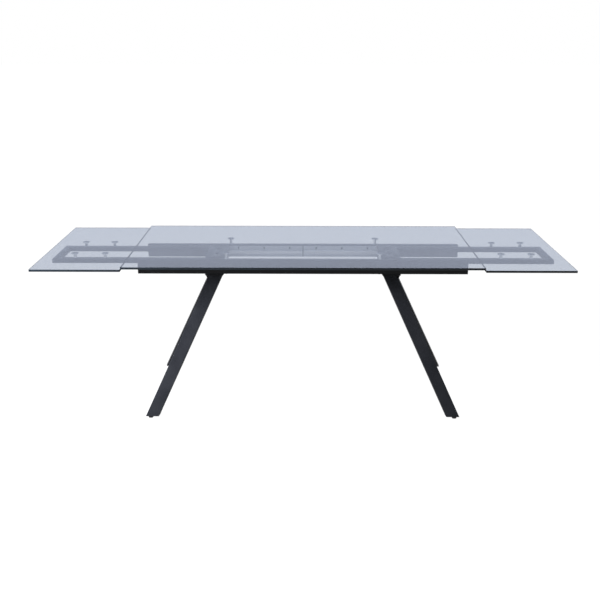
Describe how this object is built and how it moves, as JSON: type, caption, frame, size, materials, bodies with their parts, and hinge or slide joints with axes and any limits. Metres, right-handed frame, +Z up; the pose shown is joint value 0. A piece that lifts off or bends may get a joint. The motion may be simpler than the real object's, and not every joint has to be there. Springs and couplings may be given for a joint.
{
  "type": "extendable dining table",
  "caption": "Rectangular smoked-glass dining table on black splayed steel legs, with a glass leaf at each end that sinks and slides in under the fixed glass top",
  "frame": {"origin": "centre of the table on the floor under its feet", "axes": "+X runs along the table to its right end seen from the front, +Y points to the rear, +Z points up"},
  "size_m": [2.4, 0.9, 0.75],
  "materials": {
    "glass": "clear toughened glass with a bluish grey tint and ground, polished edges",
    "black_steel": "fine-textured matt black powder coat on steel tube and plate",
    "zinc_steel": "zinc-plated folded steel",
    "chrome": "polished chrome plate",
    "nylon": "smooth black nylon",
    "black_plastic": "satin black moulded plastic",
    "foot_plastic": "black moulded plastic pad with a threaded stud"
  },
  "bodies": {
    "frame": {"main_glass": "glass", "front_beam": "black_steel", "rear_beam": "black_steel", "left_cross_plate": "black_steel", "left_leg_yoke": "black_steel", "beam_cap_front_left": "black_plastic", "slide_track_front_left": "zinc_steel", "leg_front_left": "black_steel", "main_standoff_front_left": "chrome", "beam_cap_rear_left": "black_plastic", "slide_track_rear_left": "zinc_steel", "leg_rear_left": "black_steel", "main_standoff_rear_left": "chrome", "right_cross_plate": "black_steel", "right_leg_yoke": "black_steel", "beam_cap_front_right": "black_plastic", "slide_track_front_right": "zinc_steel", "leg_front_right": "black_steel", "main_standoff_front_right": "chrome", "beam_cap_rear_right": "black_plastic", "slide_track_rear_right": "zinc_steel", "leg_rear_right": "black_steel", "main_standoff_rear_right": "chrome"},
    "left_extension": {"left_crossbar": "black_steel", "left_tie_bar": "black_steel", "left_front_rail": "black_steel", "left_rear_rail": "black_steel", "runner_front_left": "nylon", "runner_rear_left": "nylon", "socket_left_front_inner": "chrome", "socket_left_front_outer": "chrome", "socket_left_rear_inner": "chrome", "socket_left_rear_outer": "chrome"},
    "left_leaf": {"left_leaf_glass": "glass", "post_left_front_inner": "chrome", "post_left_front_outer": "chrome", "post_left_rear_inner": "chrome", "post_left_rear_outer": "chrome"},
    "right_extension": {"right_crossbar": "black_steel", "right_tie_bar": "black_steel", "right_front_rail": "black_steel", "right_rear_rail": "black_steel", "runner_front_right": "nylon", "runner_rear_right": "nylon", "socket_right_front_inner": "chrome", "socket_right_front_outer": "chrome", "socket_right_rear_inner": "chrome", "socket_right_rear_outer": "chrome"},
    "right_leaf": {"right_leaf_glass": "glass", "post_right_front_inner": "chrome", "post_right_front_outer": "chrome", "post_right_rear_inner": "chrome", "post_right_rear_outer": "chrome"},
    "front_left_foot": {"foot_front_left": "foot_plastic"},
    "rear_left_foot": {"foot_rear_left": "foot_plastic"},
    "front_right_foot": {"foot_front_right": "foot_plastic"},
    "rear_right_foot": {"foot_rear_right": "foot_plastic"}
  },
  "joints": [
    {"name": "left_extension_slide", "type": "slide", "parent": "frame", "child": "left_extension", "axis": [-1, 0, 0], "range_m": [-0.4, 0]},
    {"name": "right_extension_slide", "type": "slide", "parent": "frame", "child": "right_extension", "axis": [1, 0, 0], "range_m": [-0.4, 0]},
    {"name": "left_leaf_lift", "type": "slide", "parent": "left_extension", "child": "left_leaf", "axis": [0, 0, 1], "range_m": [0, 0.011]},
    {"name": "right_leaf_lift", "type": "slide", "parent": "right_extension", "child": "right_leaf", "axis": [0, 0, 1], "range_m": [0, 0.011]},
    {"name": "front_left_foot_level", "type": "slide", "parent": "frame", "child": "front_left_foot", "axis": [0, 0, -1], "range_m": [0, 0.01]},
    {"name": "rear_left_foot_level", "type": "slide", "parent": "frame", "child": "rear_left_foot", "axis": [0, 0, -1], "range_m": [0, 0.01]},
    {"name": "front_right_foot_level", "type": "slide", "parent": "frame", "child": "front_right_foot", "axis": [0, 0, -1], "range_m": [0, 0.01]},
    {"name": "rear_right_foot_level", "type": "slide", "parent": "frame", "child": "rear_right_foot", "axis": [0, 0, -1], "range_m": [0, 0.01]}
  ]
}
